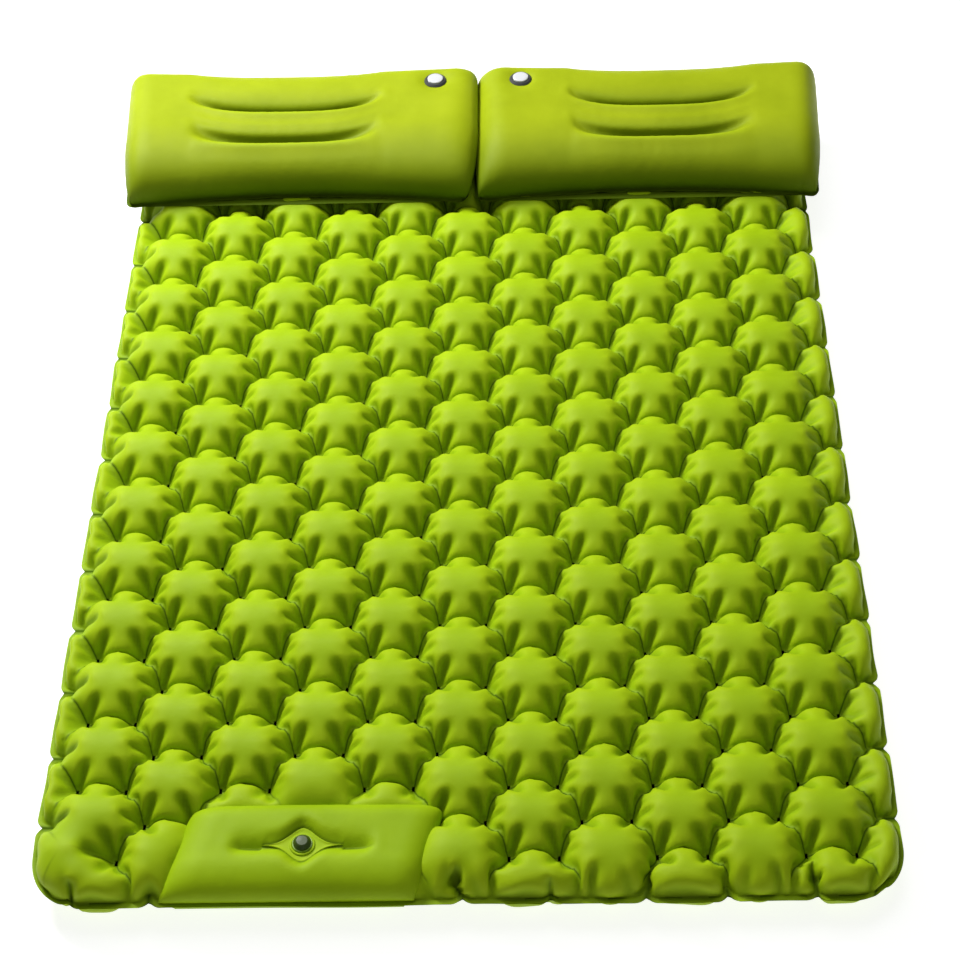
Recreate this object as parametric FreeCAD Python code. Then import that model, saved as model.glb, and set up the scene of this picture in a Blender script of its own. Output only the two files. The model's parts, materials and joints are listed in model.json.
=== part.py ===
import FreeCAD, Part
import math
import os
from FreeCAD import Vector

# Double camping air mattress: two quilted sheets welded together, two pillows on the
# head end, a foot pump in the foot end, and the valves that fill and empty them.
# X runs across the mattress, +Y runs from the foot to the head, +Z is up.
# The origin is on the ground under the centre of the mattress. All sizes are in mm.

os.makedirs("parts", exist_ok=True)

# ---- Mattress ----
MAT_WIDTH = 1360.0            # flange edge to flange edge
MAT_LENGTH = 2000.0
MAT_HEIGHT = 100.0            # crest to crest when inflated
MID = MAT_HEIGHT / 2          # height of the weld plane, where the two sheets meet
SHEET = 0.8                   # coated fabric with its weld film
FLANGE = 12.0                 # width of the weld round the rim
PLAN_CORNER = 95.0            # corner radius in plan
EDGE_ROUND = 44.0             # roundness of the inflated rim

# ---- Pillows ----
PILLOW_INNER_X = 6.0          # gap to the centre line
PILLOW_OUTER_X = 676.0
PILLOW_FRONT_Y = 598.0
PILLOW_BACK_Y = 984.0
PILLOW_FLANGE = 6.0
PILLOW_TOP = 190.0
PILLOW_ROUND = 38.0
PILLOW_CORNER = 60.0
DENT_ROWS_Y = (722.0, 818.0)  # weld lines that keep the pillow flat
DENT_X = (205.0, 545.0)
DENT_RADIUS = 14.0
DENT_RISE = 4.0               # dent axis above the pillow top

# ---- Pillow valves ----
VALVE_CENTRE_X = 14.0         # both valves sit a little to the right
VALVE_X = 88.0
VALVE_Y = 876.0
BEZEL_RADIUS = 23.0
BEZEL_HEIGHT = 4.5
BORE_RADIUS = 16.3            # inside of the housing
HOUSING_RADIUS = 18.0
HOUSING_DEPTH = 17.0          # below the pillow top
HOUSING_FLOOR = 2.0
CAP_RADIUS = 15.9
CAP_SKIRT = 1.5
STEM_RADIUS = 2.4
STEM_HOLE = 2.8
SEAL_RADIUS = 12.0
SPRING_RADIUS = 5.5
SPRING_WIRE = 1.0
SPRING_TURNS = 4.5
SPRING_ARCS = 18              # four arcs a turn
GAP = 0.3                     # running gap between parts that move past each other

# ---- Foot pump ----
PUMP_X = -252.0
PUMP_Y = -911.5
PUMP_WIDTH = 374.0            # inside of the chamber wall
PUMP_DEPTH = 138.0
PUMP_TOP = 84.0
PUMP_SKIRT_Z = 58.0           # low enough to guide the cover, clear of the floor when pressed
PUMP_ROUND = 24.0
PUMP_CORNER = 36.0
WALL_FILM = 0.6
COVER_GAP = 1.0               # cover to chamber wall
PATCH_LENGTH = 104.0
PATCH_DEPTH = 62.0
PATCH_SHEET = 1.2
INLET_Y = -909.0
SEAT_RADIUS = 17.0
SEAT_BORE = 10.0
SEAT_TUBE = 12.0
SEAT_RISE = 3.0
SEAT_DEPTH = 10.0
PLUG_RADIUS = 14.0
PLUG_TOP_RADIUS = 8.5
PLUG_RISE = 7.5
FLAP_RADIUS = 9.0
FLAP_SHEET = 1.2
FOAM_BORE = 26.0
FOAM_TOP = 70.0               # the cover's weld lines dip this close to the foam
OUTLET_Z = 22.0
OUTLET_BORE = 5.0
OUTLET_FLANGE = 12.0
OUTLET_TUBE = 7.0

# ---- Deflation valve in the head wall ----
DEFLATE_X = 320.0
DEFLATE_Z = 73.0
DEFLATE_BORE = 9.0
DEFLATE_NECK = 11.0
DEFLATE_FLANGE = 16.0         # clear of the curved wall above and below it
DEFLATE_INNER_Y = 967.0
DEFLATE_FACE_Y = 989.0
DEFLATE_CAP_RADIUS = 13.5
DEFLATE_CAP = 4.0
DEFLATE_WASHER = 0.8
DEFLATE_HINGE = 15.5          # hinge line above the valve axis

X_AXIS = Vector(1, 0, 0)
Y_AXIS = Vector(0, 1, 0)
Z_AXIS = Vector(0, 0, 1)


def save(name, shape):
    """Write one named sub-part."""
    solids = shape.Solids
    result = solids[0] if len(solids) == 1 else Part.makeCompound(solids)
    result.exportStep("parts/%s.step" % name)
    print(name, len(solids), round(result.Volume / 1000, 2), "cm3", result.isValid())


def rounded_outline(x0, x1, y0, y1, corner, z):
    """Closed wire of a rectangle with rounded corners."""
    centres = (
        (x1 - corner, y1 - corner, 0),
        (x0 + corner, y1 - corner, 90),
        (x0 + corner, y0 + corner, 180),
        (x1 - corner, y0 + corner, 270),
    )
    arcs = []
    for cx, cy, start in centres:
        circle = Part.Circle(Vector(cx, cy, z), Z_AXIS, corner)
        arcs.append(circle.toShape(math.radians(start), math.radians(start + 90)))
    edges = []
    for this, following in zip(arcs, arcs[1:] + arcs[:1]):
        edges.append(this)
        edges.append(Part.makeLine(this.lastVertex().Point, following.firstVertex().Point))
    return Part.Wire(edges)


def rounded_prism(x0, x1, y0, y1, z0, z1, corner):
    """Upright block with rounded corners in plan."""
    face = Part.Face(rounded_outline(x0, x1, y0, y1, corner, z0))
    return face.extrude(Vector(0, 0, z1 - z0))


def crowned(x0, x1, y0, y1, z0, z1, corner, edge_round):
    """Rounded block whose top rim is rounded over."""
    block = rounded_prism(x0, x1, y0, y1, z0, z1, corner)
    rim = [edge for edge in block.Edges if all(abs(v.Z - z1) < 1e-6 for v in edge.Vertexes)]
    return block.makeFillet(edge_round, rim)


def ring(x, y, z0, z1, inner, outer):
    """Upright ring."""
    tube = Part.makeCylinder(outer, z1 - z0, Vector(x, y, z0))
    return tube.cut(Part.makeCylinder(inner, z1 - z0, Vector(x, y, z0)))


def ring_along_y(x, z, y0, y1, inner, outer):
    """Ring lying on its side, with its axis along Y."""
    tube = Part.makeCylinder(outer, y1 - y0, Vector(x, y0, z), Y_AXIS)
    return tube.cut(Part.makeCylinder(inner, y1 - y0, Vector(x, y0, z), Y_AXIS))


def turned(profile, x, y):
    """Solid of revolution about the upright line through x, y."""
    points = [Vector(x + r, y, z) for r, z in profile]
    face = Part.Face(Part.makePolygon(points + points[:1]))
    return face.revolve(Vector(x, y, 0), Z_AXIS, 360)


def mirror_z(shape, height):
    """Mirror image below a level plane."""
    return shape.mirror(Vector(0, 0, height), Z_AXIS)


def chamber(inset):
    """Upper half of the air space, shrunk by inset."""
    half_x = MAT_WIDTH / 2 - FLANGE - inset
    half_y = MAT_LENGTH / 2 - FLANGE - inset
    return crowned(-half_x, half_x, -half_y, half_y, MID, MAT_HEIGHT - inset,
                   PLAN_CORNER - FLANGE - inset, EDGE_ROUND - inset)


def air_space(inset):
    """Air space of the whole mattress, shrunk by inset."""
    upper = chamber(inset)
    return upper.fuse(mirror_z(upper, MID)).removeSplitter()


def half_shell():
    """Upper fabric sheet with its weld flange, before the pump opening is cut."""
    outline = (-MAT_WIDTH / 2, MAT_WIDTH / 2, -MAT_LENGTH / 2, MAT_LENGTH / 2)
    flange = rounded_prism(*outline, MID, MID + SHEET, PLAN_CORNER)
    return flange.fuse(chamber(0)).cut(chamber(SHEET)).removeSplitter()


def pump_block(clearance, z0, z1):
    """Upright block on the pump's plan, smaller by clearance all round."""
    half_x = PUMP_WIDTH / 2 - clearance
    half_y = PUMP_DEPTH / 2 - clearance
    return rounded_prism(PUMP_X - half_x, PUMP_X + half_x, PUMP_Y - half_y, PUMP_Y + half_y,
                         z0, z1, PUMP_CORNER - clearance)


def make_mattress_sheets():
    upper = half_shell()
    lower = mirror_z(upper, MID)
    opening = pump_block(-WALL_FILM, MID + SHEET, MAT_HEIGHT + 1)
    neck_hole = Part.makeCylinder(DEFLATE_NECK + GAP, FLANGE + EDGE_ROUND,
                                  Vector(DEFLATE_X, DEFLATE_INNER_Y, DEFLATE_Z), Y_AXIS)
    save("mattress_top_sheet", upper.cut(opening).cut(neck_hole))
    save("mattress_bottom_sheet", lower)


def pillow_span(side, inset):
    """Low and high X of a pillow on the left (-1) or right (+1), shrunk by inset."""
    ends = (side * (PILLOW_INNER_X + inset), side * (PILLOW_OUTER_X - inset))
    return min(ends), max(ends)


def pillow_dents(side, extra):
    """Long rounded troughs pressed into the pillow top."""
    troughs = []
    for y in DENT_ROWS_Y:
        radius = DENT_RADIUS + extra
        z = PILLOW_TOP + DENT_RISE
        x0, x1 = sorted(side * x for x in DENT_X)
        troughs.append(Part.makeCylinder(radius, x1 - x0, Vector(x0, y, z), X_AXIS))
        troughs.extend(Part.makeSphere(radius, Vector(x, y, z)) for x in (x0, x1))
    return troughs[0].multiFuse(troughs[1:])


def pillow_dome(side, inset):
    """Inflated pillow volume, shrunk by inset."""
    x0, x1 = pillow_span(side, PILLOW_FLANGE + inset)
    y0 = PILLOW_FRONT_Y + PILLOW_FLANGE + inset
    y1 = PILLOW_BACK_Y - PILLOW_FLANGE - inset
    dome = crowned(x0, x1, y0, y1, MAT_HEIGHT + SHEET, PILLOW_TOP - inset,
                   PILLOW_CORNER - PILLOW_FLANGE - inset, PILLOW_ROUND - inset)
    return dome.cut(pillow_dents(side, inset))


def make_pillow(name, side):
    x0, x1 = pillow_span(side, 0)
    plan = (x0, x1, PILLOW_FRONT_Y, PILLOW_BACK_Y)
    base_top = MAT_HEIGHT + SHEET
    save(name + "_pillow_base", rounded_prism(*plan, MAT_HEIGHT, base_top, PILLOW_CORNER))
    flange = rounded_prism(*plan, base_top, base_top + SHEET, PILLOW_CORNER)
    cover = flange.fuse(pillow_dome(side, 0)).cut(pillow_dome(side, SHEET))
    hole = Part.makeCylinder(HOUSING_RADIUS, 2 * BEZEL_HEIGHT,
                             Vector(VALVE_CENTRE_X + side * VALVE_X, VALVE_Y,
                                    PILLOW_TOP - BEZEL_HEIGHT))
    save(name + "_pillow_cover", cover.cut(hole).removeSplitter())


def valve_housing(x, y):
    """Bezel, tube and pierced floor in one moulding."""
    floor = PILLOW_TOP - HOUSING_DEPTH
    rim = PILLOW_TOP + BEZEL_HEIGHT
    profile = (
        (STEM_HOLE, floor),
        (HOUSING_RADIUS, floor),
        (HOUSING_RADIUS, PILLOW_TOP),
        (BEZEL_RADIUS, PILLOW_TOP),
        (BEZEL_RADIUS, PILLOW_TOP + 1.2),
        (BEZEL_RADIUS - 3.2, rim),
        (BORE_RADIUS, rim),
        (BORE_RADIUS, floor + HOUSING_FLOOR),
        (STEM_HOLE, floor + HOUSING_FLOOR),
    )
    housing = turned(profile, x, y)
    for index in range(6):
        angle = math.radians(60 * index)
        spot = Vector(x + 8.0 * math.cos(angle), y + 8.0 * math.sin(angle), floor)
        housing = housing.cut(Part.makeCylinder(1.8, HOUSING_FLOOR, spot))
    return housing


def valve_cap(x, y):
    """Silver press button: a crowned disc with a short guide skirt."""
    rim = PILLOW_TOP + BEZEL_HEIGHT
    under = rim - 1.5
    profile = (
        (0, under),
        (CAP_RADIUS - CAP_SKIRT, under),
        (CAP_RADIUS - CAP_SKIRT, under - 3.0),
        (CAP_RADIUS, under - 3.0),
        (CAP_RADIUS, rim + 2.2),
        (CAP_RADIUS - 1.2, rim + 3.2),
        (CAP_RADIUS - 5.0, rim + 3.8),
        (0, rim + 4.0),
    )
    return turned(profile, x, y)


def valve_spring(x, y):
    """Coil spring between the housing floor and the button, its wire following short arcs."""
    bottom = PILLOW_TOP - HOUSING_DEPTH + HOUSING_FLOOR + SPRING_WIRE / 2 + 0.1
    top = PILLOW_TOP + BEZEL_HEIGHT - 1.5 - SPRING_WIRE / 2 - GAP
    turn = 2 * math.pi * SPRING_TURNS

    def point(part):
        angle = turn * part
        return Vector(x + SPRING_RADIUS * math.cos(angle), y + SPRING_RADIUS * math.sin(angle),
                      bottom + (top - bottom) * part)

    arcs = []
    for index in range(SPRING_ARCS):
        ends = (index, index + 0.5, index + 1)
        arcs.append(Part.Arc(*(point(end / SPRING_ARCS) for end in ends)).toShape())
    along = Vector(0, turn * SPRING_RADIUS, top - bottom)
    section = Part.Wire(Part.makeCircle(SPRING_WIRE / 2, point(0), along))
    return Part.Wire(arcs).makePipeShell([section], True, False, 0)


def make_pillow_valve(name, side):
    x = VALVE_CENTRE_X + side * VALVE_X
    y = VALVE_Y
    floor = PILLOW_TOP - HOUSING_DEPTH
    under_cap = PILLOW_TOP + BEZEL_HEIGHT - 1.5
    seal_top = floor - GAP
    seal_bottom = seal_top - 1.6
    sheet_bottom = PILLOW_TOP - SHEET
    save(name + "_valve_skirt",
         ring(x, y, sheet_bottom - 1.2, sheet_bottom, HOUSING_RADIUS, BEZEL_RADIUS + 1.5))
    save(name + "_valve_housing", valve_housing(x, y))
    save(name + "_valve_cap", valve_cap(x, y))
    save(name + "_valve_spring", valve_spring(x, y))
    save(name + "_valve_seal", ring(x, y, seal_bottom, seal_top, STEM_RADIUS, SEAL_RADIUS))
    head = Part.makeCylinder(2 * STEM_RADIUS, 1.5, Vector(x, y, seal_bottom - 1.5))
    shaft = Part.makeCylinder(STEM_RADIUS, under_cap - seal_bottom, Vector(x, y, seal_bottom))
    save(name + "_valve_stem", head.fuse(shaft).removeSplitter())


def make_pump_chamber():
    """Film wall round the pump, with the outlet hole in its rear side, and the foam spring."""
    tube = pump_block(-WALL_FILM, SHEET, MAT_HEIGHT).cut(pump_block(0, SHEET, MAT_HEIGHT))
    rear = PUMP_Y + PUMP_DEPTH / 2
    port = Part.makeCylinder(OUTLET_BORE, 4, Vector(PUMP_X, rear - 2, OUTLET_Z), Y_AXIS)
    save("pump_chamber_wall", tube.common(air_space(SHEET)).cut(port))
    margin = COVER_GAP + SHEET + 6.0
    half_x = PUMP_WIDTH / 2 - margin
    half_y = PUMP_DEPTH / 2 - margin
    foam = crowned(PUMP_X - half_x, PUMP_X + half_x, PUMP_Y - half_y, PUMP_Y + half_y,
                   SHEET + 1.0, FOAM_TOP, PUMP_CORNER - margin / 2, PUMP_ROUND - 2)
    bore = Part.makeCylinder(FOAM_BORE, MAT_HEIGHT, Vector(PUMP_X, INLET_Y, 0))
    save("pump_foam", foam.common(air_space(SHEET + 1.0)).cut(bore))


def pump_shell(inset):
    """Bulged pump cover volume, shrunk by inset."""
    half_x = PUMP_WIDTH / 2 - COVER_GAP - inset
    half_y = PUMP_DEPTH / 2 - COVER_GAP - inset
    return crowned(PUMP_X - half_x, PUMP_X + half_x, PUMP_Y - half_y, PUMP_Y + half_y,
                   PUMP_SKIRT_Z, PUMP_TOP - inset, PUMP_CORNER - inset, PUMP_ROUND - inset)


def lens(length, depth, z0, z1):
    """Eye-shaped plate centred on the pump's air inlet."""
    rise = depth / 2
    left = Vector(PUMP_X - length / 2, INLET_Y, z0)
    right = Vector(PUMP_X + length / 2, INLET_Y, z0)
    back = Part.Arc(left, Vector(PUMP_X, INLET_Y + rise, z0), right).toShape()
    front = Part.Arc(right, Vector(PUMP_X, INLET_Y - rise, z0), left).toShape()
    return Part.Face(Part.Wire([back, front])).extrude(Vector(0, 0, z1 - z0))


def make_pump_cover():
    shaft = Part.makeCylinder(SEAT_TUBE, MAT_HEIGHT, Vector(PUMP_X, INLET_Y, PUMP_SKIRT_Z))
    save("pump_cover", pump_shell(0).cut(pump_shell(SHEET)).cut(shaft))
    patch = lens(PATCH_LENGTH, PATCH_DEPTH, PUMP_TOP, PUMP_TOP + PATCH_SHEET)
    save("pump_valve_patch", patch.cut(shaft))


def make_pump_inlet():
    face = PUMP_TOP + PATCH_SHEET
    rim = face + SEAT_RISE
    floor = face - SEAT_DEPTH
    seat = turned((
        (0, floor),
        (SEAT_TUBE, floor),
        (SEAT_TUBE, face),
        (SEAT_RADIUS, face),
        (SEAT_RADIUS - 1.5, rim),
        (SEAT_BORE, rim),
        (SEAT_BORE, floor + 1.2),
        (0, floor + 1.2),
    ), PUMP_X, INLET_Y)
    for index in range(5):
        angle = math.radians(72 * index)
        spot = Vector(PUMP_X + 5.2 * math.cos(angle), INLET_Y + 5.2 * math.sin(angle), floor)
        seat = seat.cut(Part.makeCylinder(2.0, 1.2, spot))
    save("pump_valve_seat", seat)
    flap_top = floor - GAP
    flap = Part.makeCylinder(FLAP_RADIUS, FLAP_SHEET, Vector(PUMP_X, INLET_Y, flap_top - FLAP_SHEET))
    save("pump_inlet_flap", flap)
    head = rim + GAP
    save("pump_valve_plug", turned((
        (0, face - 5.0),
        (SEAT_BORE - 0.9, face - 5.0),
        (SEAT_BORE - 0.4, face - 3.5),
        (SEAT_BORE - 0.4, head),
        (PLUG_RADIUS, head),
        (PLUG_RADIUS, head + 2.0),
        (PLUG_TOP_RADIUS + 2.0, head + PLUG_RISE - 1.2),
        (PLUG_TOP_RADIUS, head + PLUG_RISE),
        (0, head + PLUG_RISE + 0.6),
    ), PUMP_X, INLET_Y))


def make_pump_outlet():
    """One-way valve that lets the pumped air into the mattress."""
    face = PUMP_Y + PUMP_DEPTH / 2 + WALL_FILM
    flange = ring_along_y(PUMP_X, OUTLET_Z, face, face + 1.5, OUTLET_BORE, OUTLET_FLANGE)
    tube = ring_along_y(PUMP_X, OUTLET_Z, face, face + 6.0, OUTLET_BORE, OUTLET_TUBE)
    save("pump_outlet_body", flange.fuse(tube).removeSplitter())
    flap = Part.makeCylinder(OUTLET_TUBE, FLAP_SHEET,
                             Vector(PUMP_X, face + 6.0 + GAP, OUTLET_Z), Y_AXIS)
    save("pump_outlet_flap", flap)


def make_deflation_valve():
    inner = ring_along_y(DEFLATE_X, DEFLATE_Z, DEFLATE_INNER_Y, DEFLATE_INNER_Y + 1.5,
                         DEFLATE_BORE, DEFLATE_FLANGE)
    neck = ring_along_y(DEFLATE_X, DEFLATE_Z, DEFLATE_INNER_Y, DEFLATE_FACE_Y,
                        DEFLATE_BORE, DEFLATE_NECK)
    save("deflate_valve_neck", inner.fuse(neck).removeSplitter())
    washer_face = DEFLATE_FACE_Y + GAP
    cap_face = washer_face + DEFLATE_WASHER
    spigot_radius = DEFLATE_BORE - 0.5
    save("deflate_valve_washer", ring_along_y(DEFLATE_X, DEFLATE_Z, washer_face, cap_face,
                                              spigot_radius, DEFLATE_NECK + 1.0))
    spigot = Part.makeCylinder(spigot_radius, cap_face - DEFLATE_FACE_Y + 2.5,
                               Vector(DEFLATE_X, DEFLATE_FACE_Y - 2.5, DEFLATE_Z), Y_AXIS)
    disc = Part.makeCylinder(DEFLATE_CAP_RADIUS, DEFLATE_CAP,
                             Vector(DEFLATE_X, cap_face, DEFLATE_Z), Y_AXIS)
    strap = Part.makeBox(8.0, 1.4, DEFLATE_HINGE,
                         Vector(DEFLATE_X - 4.0, cap_face, DEFLATE_Z))
    save("deflate_valve_cap", disc.fuse([spigot, strap]).removeSplitter())


def main():
    make_mattress_sheets()
    for name, side in (("left", -1), ("right", 1)):
        make_pillow(name, side)
        make_pillow_valve(name, side)
    make_pump_chamber()
    make_pump_cover()
    make_pump_inlet()
    make_pump_outlet()
    make_deflation_valve()


main()
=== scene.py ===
import json
import math

import bpy
import numpy as np
from mathutils import Euler, Matrix, Vector


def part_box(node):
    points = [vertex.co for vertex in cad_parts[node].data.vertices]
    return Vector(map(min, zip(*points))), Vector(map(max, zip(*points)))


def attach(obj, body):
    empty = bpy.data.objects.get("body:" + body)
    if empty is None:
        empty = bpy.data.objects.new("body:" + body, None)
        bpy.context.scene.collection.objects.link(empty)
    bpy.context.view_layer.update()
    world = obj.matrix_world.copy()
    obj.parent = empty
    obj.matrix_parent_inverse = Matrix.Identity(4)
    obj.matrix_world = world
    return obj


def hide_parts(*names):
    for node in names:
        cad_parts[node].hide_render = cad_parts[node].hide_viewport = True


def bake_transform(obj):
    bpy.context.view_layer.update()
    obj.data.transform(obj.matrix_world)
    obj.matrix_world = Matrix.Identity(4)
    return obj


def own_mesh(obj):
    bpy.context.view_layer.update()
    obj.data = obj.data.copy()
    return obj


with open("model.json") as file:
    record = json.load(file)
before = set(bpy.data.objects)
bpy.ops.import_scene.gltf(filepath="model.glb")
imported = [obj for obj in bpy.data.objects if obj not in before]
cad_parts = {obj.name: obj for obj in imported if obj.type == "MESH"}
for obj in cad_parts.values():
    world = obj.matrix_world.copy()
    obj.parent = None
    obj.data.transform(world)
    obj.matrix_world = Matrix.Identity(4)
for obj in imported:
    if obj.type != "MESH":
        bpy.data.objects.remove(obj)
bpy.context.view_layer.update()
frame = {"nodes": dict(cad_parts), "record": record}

# A double camping air mattress: quilted sheets, two pillows, a foot pump and its valves.
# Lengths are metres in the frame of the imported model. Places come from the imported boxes.

SHEET_LOW, SHEET_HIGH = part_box("mattress_top_sheet")
HALF_X = SHEET_HIGH[0]
HALF_Y = SHEET_HIGH[1]
MID = SHEET_LOW[2]            # weld plane of the two mattress sheets

# Honeycomb of weld spots
PERIOD = 0.230                # across the mattress, two columns of cells
HEX_SIDE = PERIOD / 3
ROW_PITCH = HEX_SIDE * math.sin(math.pi / 3)
FIRST_ROW_Y = -0.9185
LAST_ROW = 28
LATTICE_X = -0.009            # the honeycomb sits a little to one side
SPOT_RADIUS = 0.0066
CELLS_X = 50                  # grid cells in a period
CELLS_Y = 14                  # grid cells in a row pitch
STEP_X = PERIOD / CELLS_X
STEP_Y = ROW_PITCH / CELLS_Y
CORNER = 0.095                # plan radius of the mattress corners
FLANGE_CELLS = 2              # grid cells in the rim weld

SADDLE = 0.50                 # height of the fabric between two weld spots, over the crest height
QUILT_SPAN = 0.049            # crest height over the weld plane
WALL_RUN = 0.044              # the outer walls curve in over this much plan
WALL_BULGE = 0.003
FABRIC_EXCESS = 1.02          # slack in the blown-up cloth
QUILT_BEND = 0.12
PIT_REACH = 0.046             # a weld spot draws the fabric down this far around it
PIT_POWER = 0.62              # below 1 the pit is a narrow funnel
ARCH_POWER = 2.4
TUCK_DEPTH = 0.37             # tucks that run out of each weld spot into the cells
TUCK_WIDTH = 0.0095
TUCK_MIDDLE = 0.016
TUCK_REACH = 0.018
CREASE_DEPTH = 0.13           # dip of the fabric along the cell borders
CREASE_WIDTH = 0.004
FILLED_REACH = 0.040          # an unwelded corner of the honeycomb is filled this far around
CREASE_INNER_X = 0.644        # the side pleats run in from the rim to here
PLEAT_WIDTH = 0.022
RIM_REACH = 0.035             # the gathers of the rim fade out this far in
NOTCH_DEPTH = 0.011           # how far the rim is drawn in at a pleat
END_PLEATS = (                # each pleat's start on the rim, the spot it points at, its reach
    (-0.613, -0.582, 0.35), (-0.486, -0.506, 0.40), (-0.005, -0.047, 0.55), (0.131, 0.144, 0.30),
    (0.277, 0.298, 0.95), (0.402, 0.374, 0.45), (0.537, 0.528, 0.70), (0.641, 0.604, 0.30))
PRESSURE = 0.000020
DAMPING = 0.93
# Cavity measure behind the painted shade in hollows and the painted highlight on crests
CAVITY_BLUR = 8               # rounds of smoothing that define the surroundings of a point
CAVITY_DEPTH = 0.0045

# Foot pump
PUMP_STEP = 0.0028            # grid cell of the pump cover
PUMP_RUNS_X = (0.058, 0.036)  # the cover's walls curve in over this much plan, left and right
PUMP_RUNS_Y = (0.056, 0.026)  # front and rear
PUMP_BULGES = (0.008, 0.010)
PUMP_PRESSURE = 0.000005
COVER_EXCESS = 1.002
PUMP_LOBE_Z = 0.0955          # the foam holds the lobes this high
PUMP_GROW = 0.004             # the quilt's edge stands this far outside the pump's plan
PUMP_OVERLAP = 0.012          # and the quilt runs this far in under the cover
PUMP_LEAN_ON = 0.40           # share of its height that the quilt keeps against the cover
PUMP_SLOPE = 0.045            # it falls to that over this distance
PUMP_LEAN = 0.0415            # sideways lean of the chamber from its rear edge to the foot
EYE_Y = -0.9105
EYE_HALF_LENGTH = 0.0635
EYE_HALF_DEPTH = 0.031
EYE_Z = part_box("pump_valve_patch")[0][2]
SLIT_HALF = 0.098             # weld lines beside the eye
SLIT_Y = -0.9160
SLIT_DEPTH = 0.015
SLIT_FRONT = 0.022
SLIT_REAR = 0.040
SLIT_FADE = 0.015
EYE_SLOPE = 0.009             # the cover rises out of the eye weld over this distance
EYE_RING = 0.0180             # radius of the rolled ring round the plug
EYE_RING_ROLL = 0.0022

# Pillows
PILLOW_STEP = 0.0035
PILLOW_FLANGE = 0.007
PILLOW_CORNER = 0.022
PILLOW_INNER = 0.010
PILLOW_OUTER = 0.696
PILLOW_FRONT = 0.592
PILLOW_REAR = 0.944
PILLOW_RUNS_X = (0.042, 0.036)  # plan of the curved walls, inner and outer end
PILLOW_RUNS_Y = (0.112, 0.055)  # front and rear
PILLOW_BULGES_X = (0.024, 0.008)
PILLOW_BULGES_Y = (0.016, 0.008)
PILLOW_SPLAY = 0.024          # the outer ends stand this much wider at the rear
PILLOW_MIDDLE_Z = 0.186
PILLOW_END_RISE = 0.009       # the ends stand higher than the middle
DENT_Y = (0.690, 0.790)
DENT_HALF = 0.190
DENT_SHIFT = 0.026            # the dents sit nearer the outer end of each pillow
DENT_CURL = 0.036
DENT_DEPTH = 0.034
DENT_FRONT = 0.011            # the fabric drops quickly in front of a dent, slowly behind it
DENT_REAR = 0.056
PILLOW_BOW = 0.026            # the front seams bow back between the corners
PILLOW_PRESSURE = 0.0000035
PILLOW_EXCESS = 1.006
ROLL_SHADE = 0.60             # painted shade where the fabric rolls down into a dent
ROLL_SHADE_REACH = 0.032
VALVE_PAD = 0.021             # the fabric is flat and open under the valve's ring


def valve_place(name):
    """Centre of a valve's ring in plan, and the height of the fabric under it."""
    low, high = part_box(name + "_valve_housing")
    skirt_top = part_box(name + "_valve_skirt")[1][2]
    return (low[0] + high[0]) / 2, (low[1] + high[1]) / 2, skirt_top


VALVE = {-1: valve_place("left"), 1: valve_place("right")}
VALVE_OUT = (VALVE[1][0] - VALVE[-1][0]) / 2
PILLOW_LEAN = (VALVE[1][0] + VALVE[-1][0]) / 2 / (1 - VALVE_OUT / PILLOW_OUTER) ** 3


# ---------------------------------------------------------------- cloth on a grid

def pull_together(p, free, rest, axis, start):
    """Moves each second pair of neighbours along an axis towards its rest length."""
    count = (p.shape[axis] - start) // 2
    end = start + 2 * count
    whole = slice(None)
    pairs = [(whole, part) if axis else (part, whole)
             for part in (slice(start, end, 2), slice(start + 1, end, 2))]
    settle(p, free, pairs[0], pairs[1], rest[pairs[0]])


def settle(p, free, a, b, rest):
    gap = p[b] - p[a]
    length = np.sqrt((gap * gap).sum(-1, keepdims=True)) + 1e-12
    error = length - rest[..., None]
    weight = free[a] + free[b]
    weight = np.where(weight == 0, 1, weight)
    move = gap * (error / length / weight)
    p[a] += free[a] * move
    p[b] -= free[b] * move


def corner_pairs(start, rows):
    """Index pairs of the two diagonals of each second row of cells."""
    low = slice(start, start + 2 * rows, 2)
    high = slice(start + 1, start + 2 * rows, 2)
    left, right = slice(None, -1), slice(1, None)
    return ((low, left), (high, right)), ((low, right), (high, left))


def diagonal_lengths(p):
    return [np.sqrt(((p[1:, b] - p[:-1, a]) ** 2).sum(-1))
            for a, b in ((slice(None, -1), slice(1, None)), (slice(1, None), slice(None, -1)))]


def pull_diagonals(p, free, rest, start):
    rows = (p.shape[0] - start) // 2
    for (a, b), lengths_at_rest in zip(corner_pairs(start, rows), rest):
        gap = p[b] - p[a]
        length = np.sqrt((gap * gap).sum(-1, keepdims=True)) + 1e-12
        error = length - lengths_at_rest[a[0]][:length.shape[0]][..., None]
        move = gap * (error * 0.25 / length)
        p[a] += free[a] * move
        p[b] -= free[b] * move


def neighbour_mean(p):
    spread = np.zeros_like(p)
    inner = p[1:-1, 1:-1]
    around = p[2:, 1:-1] + p[:-2, 1:-1] + p[1:-1, 2:] + p[1:-1, :-2]
    spread[1:-1, 1:-1] = around / 4 - inner
    return spread


def outward(p):
    """Area-weighted normals of the sheet, for the pressure."""
    across = np.zeros_like(p)
    along = np.zeros_like(p)
    across[:, 1:-1] = p[:, 2:] - p[:, :-2]
    along[1:-1] = p[2:] - p[:-2]
    return np.cross(across, along)


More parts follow.
